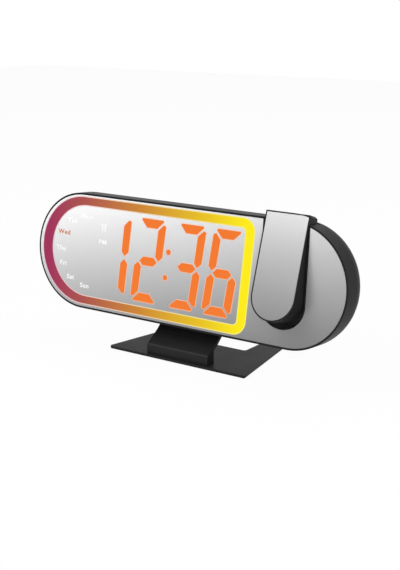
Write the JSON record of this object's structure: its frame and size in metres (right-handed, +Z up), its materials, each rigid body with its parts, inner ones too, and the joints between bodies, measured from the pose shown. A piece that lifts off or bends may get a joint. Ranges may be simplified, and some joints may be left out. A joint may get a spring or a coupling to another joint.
{
  "type": "projection alarm clock",
  "caption": "Alarm clock with a lozenge mirror face, lit digits in a lit ring, a projector arm that hinges out of the face, and a bent stand on a flat plate.",
  "frame": {"origin": "on the surface that the clock stands on, under the middle of the stand's plate from front to back and from side to side", "axes": "+X to the right along the face, +Y to the back, +Z up"},
  "size_m": [0.215, 0.0808, 0.0943],
  "materials": {
    "black_plastic": "fine matt",
    "black_metal": "matt powder coat",
    "mirror": "dark-tinted half mirror",
    "milky_plastic": "milky",
    "white_plastic": "matt",
    "board": "lacquered glass fibre",
    "lamp": "moulded",
    "chip": "moulded",
    "steel": "plated",
    "black_steel": "blackened",
    "brass": "turned",
    "rubber": "matt",
    "film": "gloss",
    "clear_lens": "polished"
  },
  "bodies": {
    "clock": {"front_housing": "black_plastic", "rear_housing": "black_plastic", "mirror_panel": "mirror", "light_ring": "milky_plastic", "segment_block": "white_plastic", "segment_diffusers": "milky_plastic", "label_diffusers": "milky_plastic", "display_board": "board", "display_leds": "lamp", "main_board": "board", "board_header": "chip", "control_chip": "chip", "board_screws": "steel", "push_switches": "chip", "buzzer": "chip", "power_inlet": "steel", "cell_holder": "chip", "coin_cell": "steel", "battery_door": "black_plastic", "door_screw": "black_steel", "housing_screws": "black_steel", "hinge_pin": "steel", "neck_screws": "black_steel", "stand_neck": "black_plastic", "stand_plate": "black_metal", "base_screws": "black_steel", "base_mat": "rubber"},
    "projector_arm": {"arm_shell": "black_plastic", "friction_bushes": "brass", "arm_mirror": "mirror", "arm_cover": "black_plastic", "arm_screws": "black_steel", "projector_board": "board", "projector_lamp": "lamp", "time_film": "film", "lens_tube": "chip"},
    "focus": {"focus_collar": "black_plastic", "projector_lens": "clear_lens"},
    "key_1": {"button_1": "black_plastic"},
    "key_2": {"button_2": "black_plastic"},
    "key_3": {"button_3": "black_plastic"},
    "key_4": {"button_4": "black_plastic"},
    "key_5": {"button_5": "black_plastic"}
  },
  "joints": [
    {"name": "arm_hinge", "type": "hinge", "parent": "clock", "child": "projector_arm", "pos_m": [0.0684, -0.02328, 0.0867], "axis": [-1, 0, 0], "range_deg": [-13.6, 166.4]},
    {"name": "focus_turn", "type": "hinge", "parent": "projector_arm", "child": "focus", "pos_m": [0.0684, -0.03429, 0.04768], "axis": [0, -0.3142, -0.9494], "range_deg": [-60, 60]},
    {"name": "key_1_press", "type": "slide", "parent": "clock", "child": "key_1", "axis": [0, -0.9966, 0.0821], "range_m": [0, 0.0005], "stiffness_N_per_m": 1000, "springref_m": -0.0006},
    {"name": "key_2_press", "type": "slide", "parent": "clock", "child": "key_2", "axis": [0, -0.9966, 0.0821], "range_m": [0, 0.0005], "stiffness_N_per_m": 1000, "springref_m": -0.0006},
    {"name": "key_3_press", "type": "slide", "parent": "clock", "child": "key_3", "axis": [0, -0.9966, 0.0821], "range_m": [0, 0.0005], "stiffness_N_per_m": 1000, "springref_m": -0.0006},
    {"name": "key_4_press", "type": "slide", "parent": "clock", "child": "key_4", "axis": [0, -0.9966, 0.0821], "range_m": [0, 0.0005], "stiffness_N_per_m": 1000, "springref_m": -0.0006},
    {"name": "key_5_press", "type": "slide", "parent": "clock", "child": "key_5", "axis": [0, -0.9966, 0.0821], "range_m": [0, 0.0005], "stiffness_N_per_m": 1000, "springref_m": -0.0006}
  ]
}
